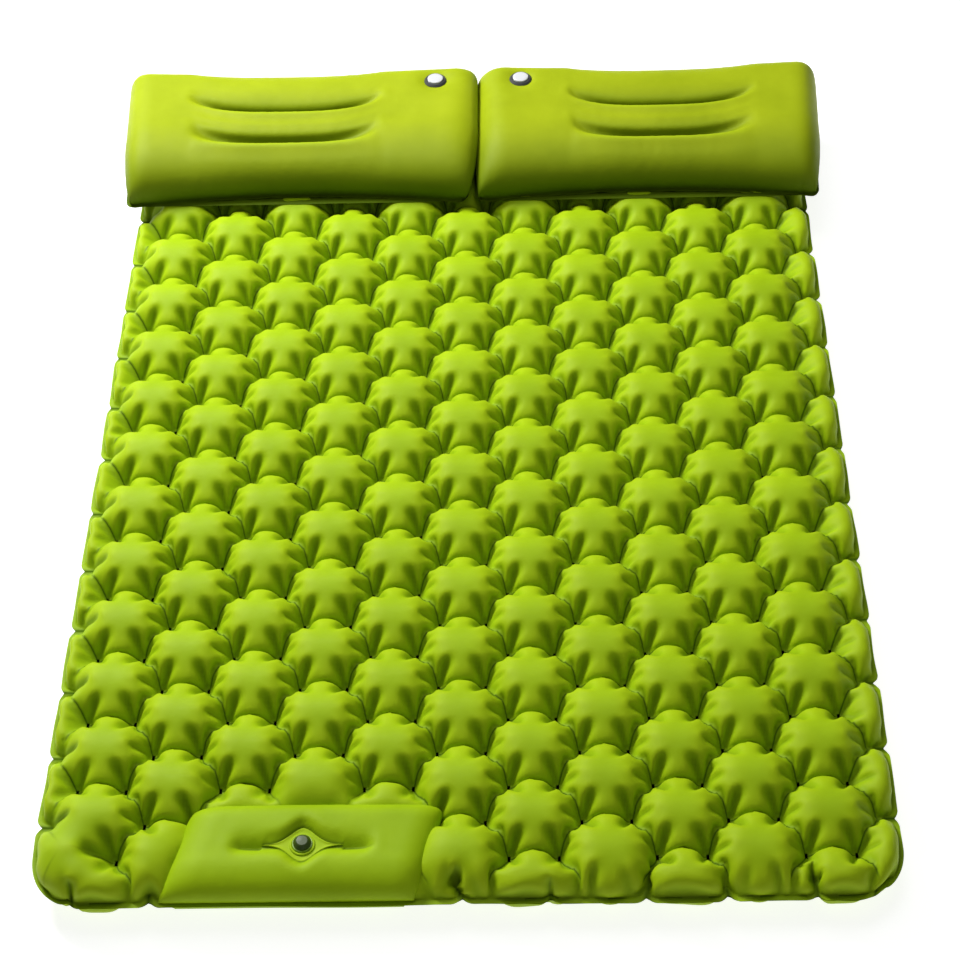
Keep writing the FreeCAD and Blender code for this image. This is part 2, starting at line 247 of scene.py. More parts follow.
def inflate(p, pinned, rest_x, rest_y, steps, pressure=PRESSURE, bend=0.1, flat=False):
    """Blows up a pinned sheet. p is rows x columns x 3, pinned marks welded points."""
    free = (~pinned).astype(float)[..., None]
    speed = np.zeros_like(p)
    slack = np.median(rest_x / lengths(p, 1))
    square = np.sqrt(rest_x[:-1] ** 2 + rest_y[:, :-1] ** 2)
    rest_d = [square, square] if flat else [slack * rest for rest in diagonal_lengths(p)]
    unit = np.median(rest_x) * np.median(rest_y) * 4
    for step in range(steps):
        speed = speed * DAMPING + pressure / unit * outward(p) * free
        p += speed * free
        before = p.copy()
        for start in (0, 1):
            pull_together(p, free, rest_x, 1, start)
        for start in (0, 1):
            pull_together(p, free, rest_y, 0, start)
        if step % 2 == 0:
            for start in (0, 1):
                pull_diagonals(p, free, rest_d, start)
        p -= bend * neighbour_mean(neighbour_mean(p)) * free
        speed += (p - before) * free
    return p


def lengths(p, axis):
    return np.sqrt((np.diff(p, axis=axis) ** 2).sum(-1))


# ---------------------------------------------------------------- plan outlines

def rounded_plan(x, y, half_x, half_y, corner):
    """Bends a rectangular grid so that its corners become quarter circles."""
    over_x = np.clip((np.abs(x) - (half_x - corner)) / corner, 0, 1)
    over_y = np.clip((np.abs(y) - (half_y - corner)) / corner, 0, 1)
    new_x = over_x * np.sqrt(1 - over_y ** 2 / 2)
    new_y = over_y * np.sqrt(1 - over_x ** 2 / 2)
    x = np.where(over_x > 0, np.sign(x) * (half_x - corner + corner * new_x), x)
    y = np.where(over_y > 0, np.sign(y) * (half_y - corner + corner * new_y), y)
    return x, y


def bell(value, centre, width):
    return np.exp(-((value - centre) / width) ** 2)


def cusp(value, centre, width):
    """1 on a line and 0 beyond width, with the sides bulging up against the line."""
    return np.clip(1 - np.abs(value - centre) / width, 0, 1) ** 2


def waves(rng, value, count, longest, shortest):
    """Smooth uneven waves along a line, between -1 and 1."""
    total = np.zeros_like(value)
    for _ in range(count):
        length = rng.uniform(shortest, longest)
        total += np.sin(2 * math.pi * value / length + rng.uniform(0, 2 * math.pi))
    return total / count


def lattice():
    """Plan positions of the honeycomb's corners, and whether each is welded."""
    row = 0
    while FIRST_ROW_Y + row * ROW_PITCH < HALF_Y - 2 * FLANGE_CELLS * STEP_Y:
        y = FIRST_ROW_Y + row * ROW_PITCH
        shift = 0.5 if row % 2 == 0 else 0.0
        for column in range(-3, 4):
            for side in (-1, 1):
                x = LATTICE_X + (column + shift) * PERIOD + side * HEX_SIDE / 2
                in_corner = abs(x) > HALF_X - 0.062 and abs(y) > HALF_Y - CORNER
                under_pump = pump_outline(x, y, PUMP_GROW) < 0.006
                if abs(x) < HALF_X - 3 * STEP_X:
                    yield x, y, not (in_corner or under_pump)
        row += 1


def honeycomb(x, y):
    """Metres to the nearest cell border and weld spot, and off the line from spot to middle."""
    offsets = []
    for shift in (0, 1):
        across = x - LATTICE_X + (1 - shift) * PERIOD / 2
        along = y - FIRST_ROW_Y + (1 - shift) * ROW_PITCH
        offsets.append((across % PERIOD - PERIOD / 2, along % (2 * ROW_PITCH) - ROW_PITCH))
    (even_x, even_y), (odd_x, odd_y) = offsets
    even = np.hypot(even_x, even_y) < np.hypot(odd_x, odd_y)
    off_x, off_y = np.where(even, even_x, odd_x), np.where(even, even_y, odd_y)
    reach = np.hypot(off_x, off_y)
    turn = (np.arctan2(off_y, off_x) + math.pi / 6) % (math.pi / 3) - math.pi / 6
    border = ROW_PITCH - reach * np.cos(math.pi / 6 - np.abs(turn))
    along, side = reach * np.cos(turn), reach * np.sin(turn)
    return border, np.hypot(HEX_SIDE - along, side), side


def quilt_height(x, y):
    """Share of the crest height over each point of the plan: domes, creases and pits."""
    border, spot, side = honeycomb(x, y)
    middle = np.clip(border / ROW_PITCH, 0, 1)
    arch = SADDLE + (1 - SADDLE) * (1 - (1 - middle) ** ARCH_POWER)
    pit = (0.5 - 0.5 * np.cos(math.pi * np.clip(spot / PIT_REACH, 0, 1))) ** PIT_POWER
    tuck = TUCK_DEPTH * bell(side, 0, TUCK_WIDTH) * bell(spot, TUCK_MIDDLE, TUCK_REACH)
    crease = CREASE_DEPTH * np.exp(-border / CREASE_WIDTH) * np.clip(spot / 0.02, 0, 1)
    share = pit * (arch * (1 - tuck) - crease)
    for spot_x, spot_y, welded in lattice():
        if not welded:
            share += (1 - share) * bell(np.hypot(x - spot_x, y - spot_y), 0, FILLED_REACH)
    return share


# ---------------------------------------------------------------- meshes

# Its value drives painted shade in the hollows and a painted highlight on the crests.
def hollowness(p):
    """1 where the sheet lies well below its surroundings, 0 on crests and plain slopes."""
    blurred = p.copy()
    for _ in range(CAVITY_BLUR):
        blurred += neighbour_mean(blurred)
    normal = outward(p)
    normal /= np.sqrt((normal * normal).sum(-1, keepdims=True)) + 1e-12
    return np.clip(((blurred - p) * normal).sum(-1) / CAVITY_DEPTH, -1, 1)


def add_layers(mesh, used, quads, maps, marks):
    """Cloth maps on the face corners and marks on the points in use."""
    for layer_name, flat in (maps or {}).items():
        layer = mesh.uv_layers.new(name=layer_name)
        values = flat.reshape(-1, 2)[used][quads].astype(np.float32)
        layer.data.foreach_set("uv", values.ravel())
    for mark_name, values in (marks or {}).items():
        mark = mesh.attributes.new(mark_name, "FLOAT", "POINT")
        mark.data.foreach_set("value", values.ravel()[used].astype(np.float32))


def grid_object(name, p, keep=None, maps=None, marks=None):
    """Mesh object over a grid of points; keep says which cells have a face."""
    rows, columns = p.shape[:2]
    index = np.arange(rows * columns).reshape(rows, columns)
    quads = np.stack([index[:-1, :-1], index[:-1, 1:], index[1:, 1:], index[1:, :-1]], -1)
    quads = quads.reshape(-1, 4) if keep is None else quads[keep]
    used = np.unique(quads)
    renumber = np.zeros(rows * columns, dtype=np.int64)
    renumber[used] = np.arange(len(used))
    quads = renumber[quads]
    mesh = bpy.data.meshes.new(name)
    mesh.vertices.add(len(used))
    mesh.vertices.foreach_set("co", p.reshape(-1, 3)[used].astype(np.float32).ravel())
    mesh.loops.add(quads.size)
    mesh.loops.foreach_set("vertex_index", quads.astype(np.int32).ravel())
    mesh.polygons.add(len(quads))
    mesh.polygons.foreach_set("loop_start", np.arange(0, quads.size, 4, dtype=np.int32))
    add_layers(mesh, used, quads, maps, marks)
    mesh.update(calc_edges=True)
    mesh.shade_smooth()
    thing = bpy.data.objects.new(name, mesh)
    bpy.context.collection.objects.link(thing)
    return thing


def whole_cells(inside):
    """Cells of the grid with all four corners inside."""
    return inside[:-1, :-1] & inside[1:, :-1] & inside[:-1, 1:] & inside[1:, 1:]


def cloth_coordinates(rest_x, rest_y):
    """Distances along the flat cloth, in metres, used to lay its weave."""
    u = np.zeros((rest_y.shape[0] + 1, rest_y.shape[1]))
    v = np.zeros_like(u)
    u[:, 1:] = np.cumsum(rest_x, axis=1)
    v[1:] = np.cumsum(rest_y, axis=0)
    return np.stack([u, v], -1)


# ---------------------------------------------------------------- inflated boxes

def wall_stations(run, bulge, height, step):
    """Plan offset, sideways push and share of the height up a curved wall."""
    arc = math.pi / 2 * math.sqrt((run ** 2 + height ** 2) / 2) + bulge
    angle = np.linspace(0, math.pi / 2, round(arc / step) + 1)
    return run * (1 - np.cos(angle)), bulge * np.sin(2 * angle), np.sin(angle)


def profile(low, high, flange, runs, bulges, height, step):
    """Stations along one axis of an inflated box, evenly spaced along its cloth."""
    inward, push, rise = wall_stations(runs[0], bulges[0], height, step)
    outward_in, outward_push, outward_rise = wall_stations(runs[1], bulges[1], height, step)
    start, end = low + flange, high - flange
    top = np.linspace(start + runs[0], end - runs[1],
                      round((end - start - sum(runs)) / step) + 1)[1:-1]
    flat = np.zeros_like(top)
    place = np.concatenate([[low], start + inward, top, end - outward_in[::-1], [high]])
    push = np.concatenate([[0], -push, flat, outward_push[::-1], [0]])
    rise = np.concatenate([[0], rise, flat + 1, outward_rise[::-1], [0]])
    return place, push, rise


def inflated_box(across, along, base_z, height):
    """Grid of points over an inflated box, its height share, and its welded rim."""
    x, push_x, rise_x = (row[None, :] for row in across)
    y, push_y, rise_y = (row[:, None] for row in along)
    rise = rise_x * rise_y
    p = np.stack([x + push_x * np.sqrt(rise_y), y + push_y * np.sqrt(rise_x),
                  base_z + height * rise], -1)
    return p, rise, rise < 1e-6


# ---------------------------------------------------------------- quilted mattress

PUMP_LOW, PUMP_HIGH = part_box("pump_cover")
PUMP_X = (PUMP_LOW[0] + PUMP_HIGH[0]) / 2
PUMP_HALF_X = (PUMP_HIGH[0] - PUMP_LOW[0]) / 2
PUMP_BACK = PUMP_HIGH[1]
PUMP_CORNER = 0.040


def toward_foot(y):
    return np.clip((PUMP_BACK - y) / (PUMP_BACK + HALF_Y), 0, 1)


def pump_middle(y):
    """The chamber leans sideways a little towards the foot."""
    return PUMP_X + PUMP_LEAN * (0.35 - toward_foot(y))


def pump_outline(x, y, grow):
    """Below 0 inside the pump's rounded plan, above 0 outside it; metres from the line."""
    away_x = np.abs(x - pump_middle(y)) - (PUMP_HALF_X + grow - PUMP_CORNER)
    away_y = y - (PUMP_BACK + grow - PUMP_CORNER)
    corner = np.hypot(np.maximum(away_x, 0), np.maximum(away_y, 0)) - PUMP_CORNER
    return np.maximum(corner, np.minimum(np.maximum(away_x, away_y), 0) - PUMP_CORNER)


def side_pleats():
    """Rows whose outer weld spots draw the side rims in."""
    row = 1
    while FIRST_ROW_Y + row * ROW_PITCH < HALF_Y - CORNER / 2:
        yield FIRST_ROW_Y + row * ROW_PITCH
        row += 2


def end_pleats():
    """Pleats of the foot and head walls, from the rim towards the nearest weld spot."""
    for end, spot_y in ((-1, FIRST_ROW_Y), (1, FIRST_ROW_Y + LAST_ROW * ROW_PITCH)):
        for rim_x, spot_x, share in END_PLEATS:
            behind_pump = end < 0 and abs(rim_x - PUMP_X) < PUMP_HALF_X
            if not behind_pump:
                yield end, rim_x, spot_x, spot_y, share


def pleat_depth(x, y):
    """1 on the pleats, which are held at the weld plane, fading to 0 beside them."""
    depth = np.zeros(x.shape)
    inner = np.clip((np.abs(x) - CREASE_INNER_X) / 0.012, 0, 1)
    for row_y in side_pleats():
        depth = np.maximum(depth, inner * cusp(y, row_y, PLEAT_WIDTH))
    for end, rim_x, spot_x, spot_y, share in end_pleats():
        along = (y - end * HALF_Y) / (spot_y - end * HALF_Y)
        middle = rim_x + (spot_x - rim_x) * np.clip(along, 0, 1) ** 1.5
        length = np.clip((share - along) / 0.15, 0, 1) * (along > -0.5)
        depth = np.maximum(depth, length * cusp(x, middle, PLEAT_WIDTH))
    return depth


def wall(inward, run, bulge):
    """Height share and outward push of a rounded wall, by distance in from its foot."""
    angle = np.arccos(1 - np.clip(inward / run, 0, 1))
    return np.sin(angle), bulge * np.sin(2 * angle)


def rim_shape(p, rng):
    """Gathers the rim weld: drawn in at each pleat, waving up and down between them."""
    x, y = p[..., 0].copy(), p[..., 1].copy()
    near_x = np.clip((np.abs(x) - (HALF_X - RIM_REACH)) / RIM_REACH, 0, 1)
    near_y = np.clip((np.abs(y) - (HALF_Y - RIM_REACH)) / RIM_REACH, 0, 1)
    inset_x = 0.0015 * (1 + waves(rng, y + 2 * np.sign(x), 4, 0.5, 0.12))
    lift_x = 0.002 * waves(rng, y + 3 * np.sign(x), 5, 0.20, 0.06)
    for row_y in side_pleats():
        for side in (-1, 1):
            depth = NOTCH_DEPTH * rng.uniform(0.55, 1.1)
            here = cusp(y, row_y + rng.uniform(-0.002, 0.002), 0.016) * (np.sign(x) == side)
            inset_x = inset_x + depth * here
            lift_x = lift_x + rng.uniform(-0.004, 0.002) * here
    inset_y = 0.0015 * (1 + waves(rng, x + 2 * np.sign(y), 4, 0.5, 0.12))
    lift_y = 0.002 * waves(rng, x + 3 * np.sign(y), 5, 0.20, 0.06)
    for end, rim_x, *_ in end_pleats():
        here = cusp(x, rim_x, 0.018) * (np.sign(y) == end)
        inset_y = inset_y + NOTCH_DEPTH * rng.uniform(0.7, 1.15) * here
        lift_y = lift_y + rng.uniform(-0.003, 0.004) * here
    p[..., 0] = x - np.sign(x) * near_x * inset_x
    p[..., 1] = y - np.sign(y) * near_y * inset_y
    p[..., 2] += near_x * lift_x + near_y * lift_y


def mattress_grid():
    columns = round(HALF_X / STEP_X)
    x = LATTICE_X + np.arange(-columns + 1, columns + 3) * STEP_X
    x = x[np.abs(x) < HALF_X - 0.4 * STEP_X]
    below = round((HALF_Y + FIRST_ROW_Y) / STEP_Y)
    above = round((HALF_Y - FIRST_ROW_Y) / STEP_Y)
    y = FIRST_ROW_Y + np.arange(-below, above + 1) * STEP_Y
    y = y[np.abs(y) < HALF_Y - 0.4 * STEP_Y]
    return np.meshgrid(np.r_[-HALF_X, x, HALF_X], np.r_[-HALF_Y, y, HALF_Y])


def quilt_template(x, y, rng):
    """Blown-up shape of the upper sheet over its flat plan, and its welded points."""
    side_rise, side_push = wall(HALF_X - 2.2 * STEP_X - np.abs(x), WALL_RUN, WALL_BULGE)
    end_rise, end_push = wall(HALF_Y - 2.2 * STEP_Y - np.abs(y), WALL_RUN, WALL_BULGE)
    line = pump_outline(x, y, PUMP_GROW)
    fall = np.sin(0.5 * math.pi * np.clip(line / PUMP_SLOPE, 0, 1))
    lean_on = PUMP_LEAN_ON + (1 - PUMP_LEAN_ON) * fall
    pump_rise = lean_on * np.clip(1 + line / PUMP_OVERLAP, 0, 1)
    depth = pleat_depth(x, y) * (line > 0.004)
    rise = side_rise * end_rise * pump_rise * (1 - depth)
    plan_x, plan_y = rounded_plan(x, y, HALF_X, HALF_Y, CORNER)
    p = np.stack([plan_x + np.sign(x) * side_push * end_rise * (1 - depth),
                  plan_y + np.sign(y) * end_push * side_rise * (1 - depth),
                  QUILT_SPAN * quilt_height(x, y) * rise], -1)
    pinned = (rise < 1e-6) | (depth > 0.72)
    for spot_x, spot_y, welded in lattice():
        if welded:
            pinned |= np.hypot(x - spot_x, y - spot_y) < SPOT_RADIUS
    p[..., 2] = np.where(pinned, 0, p[..., 2])
    rim_shape(p, rng)
    return p, pinned, line, side_rise * end_rise


def crease_shade_share(x, y, line):
    """Where the painted shade line marks the borders of the cells as creases: not on the walls or an
    unwelded corner.
    """
    inward = np.minimum(HALF_X - np.abs(x), HALF_Y - np.abs(y))
    share = np.clip((inward - 0.030) / 0.010, 0, 1) * np.clip(line / 0.008, 0, 1)
    for spot_x, spot_y, welded in lattice():
        if not welded:
            share *= 1 - bell(np.hypot(x - spot_x, y - spot_y), 0, 0.050)
    return share


def lower_sheet(top, line, full_rise):
    """The upper sheet mirrored in the weld plane, but blown down flat under the pump."""
    bottom = top.copy()
    under_pump = np.clip(-line / PUMP_OVERLAP, 0, 1)
    mirrored = 2 * MID - top[..., 2]
    flat = MID - QUILT_SPAN * full_rise
    bottom[..., 2] = np.maximum(mirrored + under_pump * (flat - mirrored), 0)
    return bottom


def make_mattress():
    rng = np.random.default_rng(11)
    x, y = mattress_grid()
    p, pinned, line, full_rise = quilt_template(x, y, rng)
    rest_x = lengths(p, 1) * FABRIC_EXCESS
    rest_y = lengths(p, 0) * FABRIC_EXCESS
    maps = {"cloth": cloth_coordinates(rest_x, rest_y),
            "plan": np.stack([x - LATTICE_X, y - FIRST_ROW_Y], -1)}
    p[..., 2] += np.where(pinned, 0, 0.0004 * rng.standard_normal(x.shape))
    steps = 60
    inflate(p, pinned, rest_x, rest_y, steps, bend=QUILT_BEND, flat=True)
    top = p + np.array([0, 0, MID])
    bottom = lower_sheet(top, line, full_rise)
    # Marks for painted light: shade in the hollows and highlight on the crests, a shade line on the
    # cell-border creases, shade in the pleats
    marks = {"hollow_shade_and_highlight": hollowness(p), "crease": crease_shade_share(x, y, line),
             "fold_shade": np.clip(pleat_depth(x, y) * 1.6 - 0.6, 0, 1)}
    upper = grid_object("quilted_top", top, ~whole_cells(line < -PUMP_OVERLAP), maps, marks)
    flipped_maps = {layer: flat[:, ::-1] for layer, flat in maps.items()}
    flipped_marks = {layer: flat[:, ::-1] for layer, flat in marks.items()}
    lower = grid_object("quilted_bottom", bottom[:, ::-1], None, flipped_maps, flipped_marks)
    return upper, lower


# ---------------------------------------------------------------- foot pump

def lens_half_depth(x, half_length, half_depth):
    """Half depth of the eye-shaped weld: a bell that runs out into fine points."""
    across = np.clip(np.abs(x) / half_length, 0, 1)
    return half_depth * (0.88 * np.exp(-(across / 0.43) ** 2) + 0.12 * (1 - across))


def press_welds(p, rise, off_x, outside, from_slit, fade):
    """Draws the cover down at the eye weld and the slits beside it."""
    reach = np.where(from_slit < 0, SLIT_FRONT, SLIT_REAR)
    p[..., 2] -= SLIT_DEPTH * fade * cusp(from_slit, 0, reach) * rise
    p[..., 2] -= 0.004 * np.clip((off_x / PUMP_HALF_X) ** 2, 0, 1) * rise
    near = bell(np.maximum(outside, 0), 0, EYE_SLOPE) * (np.abs(off_x) < EYE_HALF_LENGTH)
    p[..., 2] += (EYE_Z - 0.0006 - p[..., 2]) * near


def make_pump_cover():
    """The raised chamber over the pump foam, with its eye weld and two lobes."""
    rng = np.random.default_rng(23)
    height = PUMP_LOBE_Z - MID
    across = profile(-PUMP_HALF_X - 0.010, PUMP_HALF_X + 0.012, 0.001,
                     PUMP_RUNS_X, PUMP_BULGES, height, PUMP_STEP)
    along = profile(-HALF_Y + 0.008, PUMP_BACK + 0.007, 0.001,
                    PUMP_RUNS_Y, PUMP_BULGES, height, PUMP_STEP)
    p, rise, welded = inflated_box(across, along, MID - 0.0006, height)
    middle = pump_middle(p[..., 1])
    off_x, off_y = p[..., 0] + middle - PUMP_X, p[..., 1] - EYE_Y
    from_slit = p[..., 1] - SLIT_Y
    at_eye = np.abs(off_x) < EYE_HALF_LENGTH
    fade = np.clip(1 - (np.abs(off_x) / (SLIT_HALF + SLIT_FADE)) ** 8, 0, 1)
    outside = np.abs(off_y) - lens_half_depth(off_x, EYE_HALF_LENGTH, EYE_HALF_DEPTH)
    press_welds(p, rise, off_x, outside, from_slit, fade)
    slit = (np.abs(off_x) < SLIT_HALF) & (np.abs(from_slit) < 0.6 * PUMP_STEP)
    pinned = welded | slit | ((outside < -0.003) & at_eye)
    rest_x, rest_y = lengths(p, 1) * COVER_EXCESS, lengths(p, 0) * COVER_EXCESS
    p[..., 2] += np.where(pinned, 0, 0.0003 * rng.standard_normal(pinned.shape))
    steps = 40
    inflate(p, pinned, rest_x, rest_y, steps, PUMP_PRESSURE, bend=0.12)
    p[..., 0] += middle
    # Painted shade along the creases of the eye weld and of the slits
    edge = bell(outside, 0.001, 0.0028) * at_eye
    crease = fade * bell(from_slit, 0.0, 0.0022) * ~at_eye
    marks = {"hollow_shade_and_highlight": hollowness(p), "fold_shade": np.clip(edge + crease, 0, 1) * 0.8}
    return grid_object("pump_lobes", p, None, {"cloth": cloth_coordinates(rest_x, rest_y)}, marks)


def make_chamber_wall():
    """Fabric wall round the foam, from the lower sheet up to the weld under the cover."""
    low_y, high_y = -HALF_Y + 0.050, PUMP_BACK + PUMP_GROW - PUMP_OVERLAP
    half_x, half_y = PUMP_HALF_X + PUMP_GROW - PUMP_OVERLAP, (high_y - low_y) / 2
    turn = np.linspace(0, 2 * math.pi, 241)[None, :]
    height = np.linspace(0.003, MID - 0.001, 8)[:, None]
    across, along = np.cos(turn), np.sin(turn)
    x = half_x * np.sign(across) * np.abs(across) ** 0.25 + 0 * height
    y = (low_y + high_y) / 2 + half_y * np.sign(along) * np.abs(along) ** 0.25 + 0 * height
    p = np.stack([x + pump_middle(y), y, height + 0 * x], -1)
    return grid_object("pump_chamber_baffle", p)


def add_ring(points, faces, radius, thickness):
    """Rolled ring of the patch round the plug."""
    around, section = 64, 12
    first = len(points)
    for k in range(around):
        turn = 2 * math.pi * k / around
        for j in range(section):
            roll = 2 * math.pi * j / section
            reach = radius + thickness * math.cos(roll)
            points.append((PUMP_X + reach * math.cos(turn), EYE_Y + reach * math.sin(turn),
                           EYE_Z + 0.0012 + thickness * math.sin(roll)))
            a, b = k * section, (k + 1) % around * section
            after = (j + 1) % section
            faces.append((first + a + j, first + b + j, first + b + after, first + a + after))


def eye_outline_point(angle):
    """Point of the eye's outline from its middle, with the sharp tips rounded in."""
    x = math.cos(angle) * EYE_HALF_LENGTH
    half = float(lens_half_depth(np.array(x), EYE_HALF_LENGTH, EYE_HALF_DEPTH))
    return x, math.copysign(half, math.sin(angle)) * min(1, abs(math.sin(angle)) * 6)


def make_eye_patch():
    """Moulded valve patch: a thin lens with a rolled edge and a ring, on the cover's weld."""
    rings = ((1.00, 0.0000), (0.985, 0.0012), (0.95, 0.0019), (0.90, 0.0017),
             (0.86, 0.0012), (0.70, 0.0010), (0.45, 0.0010), (0.20, 0.0010))
    around = 160
    outline = [eye_outline_point(2 * math.pi * k / around) for k in range(around)]
    points = [(PUMP_X + x * share, EYE_Y + y * share, EYE_Z + height)
              for share, height in rings for x, y in outline]
    faces = []
    for ring in range(len(rings) - 1):
        for k in range(around):
            a, b = ring * around + k, ring * around + (k + 1) % around
            faces.append((a, b, b + around, a + around))
    faces.append(tuple(range((len(rings) - 1) * around, len(rings) * around)))
    add_ring(points, faces, EYE_RING, EYE_RING_ROLL)
    mesh = bpy.data.meshes.new("eye_patch")
    mesh.from_pydata(points, [], faces)
    mesh.update()
    mesh.shade_smooth()
    patch = bpy.data.objects.new("eye_patch", mesh)
    bpy.context.collection.objects.link(patch)
    return patch


# ---------------------------------------------------------------- pillows

def dent_rows(y_flat):
    """The grid rows nearest the two dents."""
    return [y_flat[np.argmin(np.abs(y_flat - dent_y))] for dent_y in DENT_Y]


def along_pillow(y):
    """0 at the front seam, 1 at the rear seam."""
    return np.clip((y - PILLOW_FRONT) / (PILLOW_REAR - PILLOW_FRONT), 0, 1)


def dent_pattern(y_flat, share, rows):
    """Depth share of the two dents, and the shade of the rolls behind them."""
    trough, shade = np.zeros(y_flat.shape), np.zeros(y_flat.shape)
    for row_y in rows:
        reach = np.where(y_flat < row_y, DENT_FRONT, DENT_REAR)
        trough = np.maximum(trough, (1 - share ** 3) * cusp(y_flat, row_y, reach))
        behind = np.clip((y_flat - row_y) / PILLOW_STEP + 1, 0, 1)
        roll = behind * bell(y_flat, row_y, ROLL_SHADE_REACH)
        shade = np.maximum(shade, (1 - share ** 4) * roll)
    return trough, ROLL_SHADE * shade


def bend_rows(p, y_flat, u, share, welded):
    """Bows the front seam back between its corners and curls up the ends of the dents."""
    half_x = (PILLOW_OUTER - PILLOW_INNER) / 2
    near_front = np.clip(1 - (y_flat - PILLOW_FRONT) / 0.15, 0, 1)
    p[..., 1] += PILLOW_BOW * (1 - (u / half_x) ** 2) * near_front
    amid = np.sin(math.pi * along_pillow(y_flat))
    p[..., 1] += DENT_CURL * share ** 3.2 * amid * (1 - welded)


def pillow_template(low, side):
    """Blown-up pillow, its height share, dents, their shade, and what lies under the valve."""
    height = PILLOW_MIDDLE_Z - low[2]
    across = profile(PILLOW_INNER, PILLOW_OUTER, PILLOW_FLANGE, PILLOW_RUNS_X,
                     PILLOW_BULGES_X, height, PILLOW_STEP)
    along = profile(PILLOW_FRONT, PILLOW_REAR, PILLOW_FLANGE, PILLOW_RUNS_Y,
                    PILLOW_BULGES_Y, height, PILLOW_STEP)
    p, rise, welded = inflated_box(across, along, low[2], height)
    middle_x, middle_y = (PILLOW_INNER + PILLOW_OUTER) / 2, (PILLOW_FRONT + PILLOW_REAR) / 2
    u = p[..., 0] - middle_x
    y_flat = p[..., 1].copy()
    flat_x, flat_y = rounded_plan(u, y_flat - middle_y, PILLOW_OUTER - middle_x,
                                  PILLOW_REAR - middle_y, PILLOW_CORNER)
    p[..., 0] = np.where(welded, flat_x + middle_x, p[..., 0])
    p[..., 1] = np.where(welded, flat_y + middle_y, p[..., 1])
    p[..., 2] += PILLOW_END_RISE * rise * np.clip(np.abs(u) / 0.3, 0, 1.1) ** 2
    share = np.clip(np.abs(u - DENT_SHIFT) / DENT_HALF, 0, 1)
    bend_rows(p, y_flat, u, share, welded)
    trough, shade = dent_pattern(y_flat, share, dent_rows(along[0]))
    p[..., 2] -= DENT_DEPTH * trough
    from_valve = np.hypot(p[..., 0] - VALVE_OUT, p[..., 1] - VALVE[side][1])
    flatten = bell(np.maximum(from_valve - VALVE_PAD, 0), 0, 0.020)
    p[..., 2] += (VALVE[side][2] - p[..., 2]) * flatten
    return p, rise, trough, shade, from_valve < VALVE_PAD


def lean_pillow(p, side, foot_z):
    """Widens the outer end to the rear, and leans the inner end to the right."""
    outer_share = np.clip(np.abs(p[..., 0]) / PILLOW_OUTER, 0, 1) ** 2
    p[..., 0] += side * PILLOW_SPLAY * along_pillow(p[..., 1]) * outer_share
    raised = np.clip((p[..., 2] - foot_z) / (PILLOW_MIDDLE_Z - foot_z), 0, 1)
    p[..., 0] += PILLOW_LEAN * raised * np.clip(1 - np.abs(p[..., 0]) / PILLOW_OUTER, 0, 1) ** 3


def pillow_marks(p, rise, trough, roll_shade):
    """Painted shade and highlight from the hollows, and painted shade in the dents, on the rolls
    behind them and on the turned-under front.
    """
    middle_y = (PILLOW_FRONT + PILLOW_REAR) / 2
    facing = np.clip((middle_y - p[..., 1]) / 0.10, 0, 1)
    # Painted shade on the front wall, darkest towards its foot
    front_shade = facing * np.clip(1 - rise, 0, 1) ** 0.7 * 0.85
    # Painted shade down in the dents
    dents = np.clip(trough * 2.2 - 1.3, 0, 1) * 0.9
    return {"hollow_shade_and_highlight": hollowness(p) * 0.6,
            "fold_shade": np.clip(dents + roll_shade + front_shade, 0, 1)}


def make_pillow(name, side, seed):
    rng = np.random.default_rng(seed)
    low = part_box(name + "_pillow_cover")[0]
    p, rise, trough, roll_shade, under_valve = pillow_template(low, side)
    welded = rise < 1e-6
    pinned = welded | under_valve
    p[..., 2] += welded * 0.0022 * waves(rng, p[..., 0] + 2 * p[..., 1], 6, 0.11, 0.03)
    rest_x, rest_y = lengths(p, 1) * PILLOW_EXCESS, lengths(p, 0) * PILLOW_EXCESS
    p[..., 2] += np.where(pinned, 0, 0.0003 * rng.standard_normal(pinned.shape))
    steps = 80
    inflate(p, pinned, rest_x, rest_y, steps, PILLOW_PRESSURE, bend=0.12)
    keep = ~whole_cells(under_valve)
    uv = cloth_coordinates(rest_x, rest_y)
    marks = pillow_marks(p, rise, trough, roll_shade)
    if side < 0:
        p[..., 0] *= -1
        p, uv, keep = p[:, ::-1], uv[:, ::-1], keep[:, ::-1]
        marks = {mark: values[:, ::-1] for mark, values in marks.items()}
    lean_pillow(p, side, low[2])
    return grid_object(name + "_pillow_dome", p, keep, {"cloth": uv}, marks)


def make_pillow_base(name, side, seed):
    """Lower sheet of a pillow, lying on the mattress under the dome."""
    rng = np.random.default_rng(seed)
    low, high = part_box(name + "_pillow_base")
    columns, rows = 68, 40
    x, y = np.meshgrid(np.linspace(low[0], high[0], columns), np.linspace(low[1], PILLOW_REAR, rows))
    middle_x, middle_y = (low[0] + high[0]) / 2, (low[1] + PILLOW_REAR) / 2
    half_x, half_y = (high[0] - low[0]) / 2, (PILLOW_REAR - low[1]) / 2
    plan_x, plan_y = rounded_plan(x - middle_x, y - middle_y, half_x, half_y, PILLOW_CORNER)
    inset = np.minimum(half_x - np.abs(x - middle_x), half_y - np.abs(y - middle_y))
    sag = 0.004 * np.clip(inset / 0.05, 0, 1) + 0.001 * waves(rng, x * 2 + y, 6, 0.2, 0.07)
    z = high[2] - 0.0004 - np.where(inset > 0.01, sag, 0)
    p = np.stack([plan_x + middle_x, plan_y + middle_y, z], -1)
    return grid_object(name + "_pillow_underside", p[:, ::-1])


# ---------------------------------------------------------------- materials

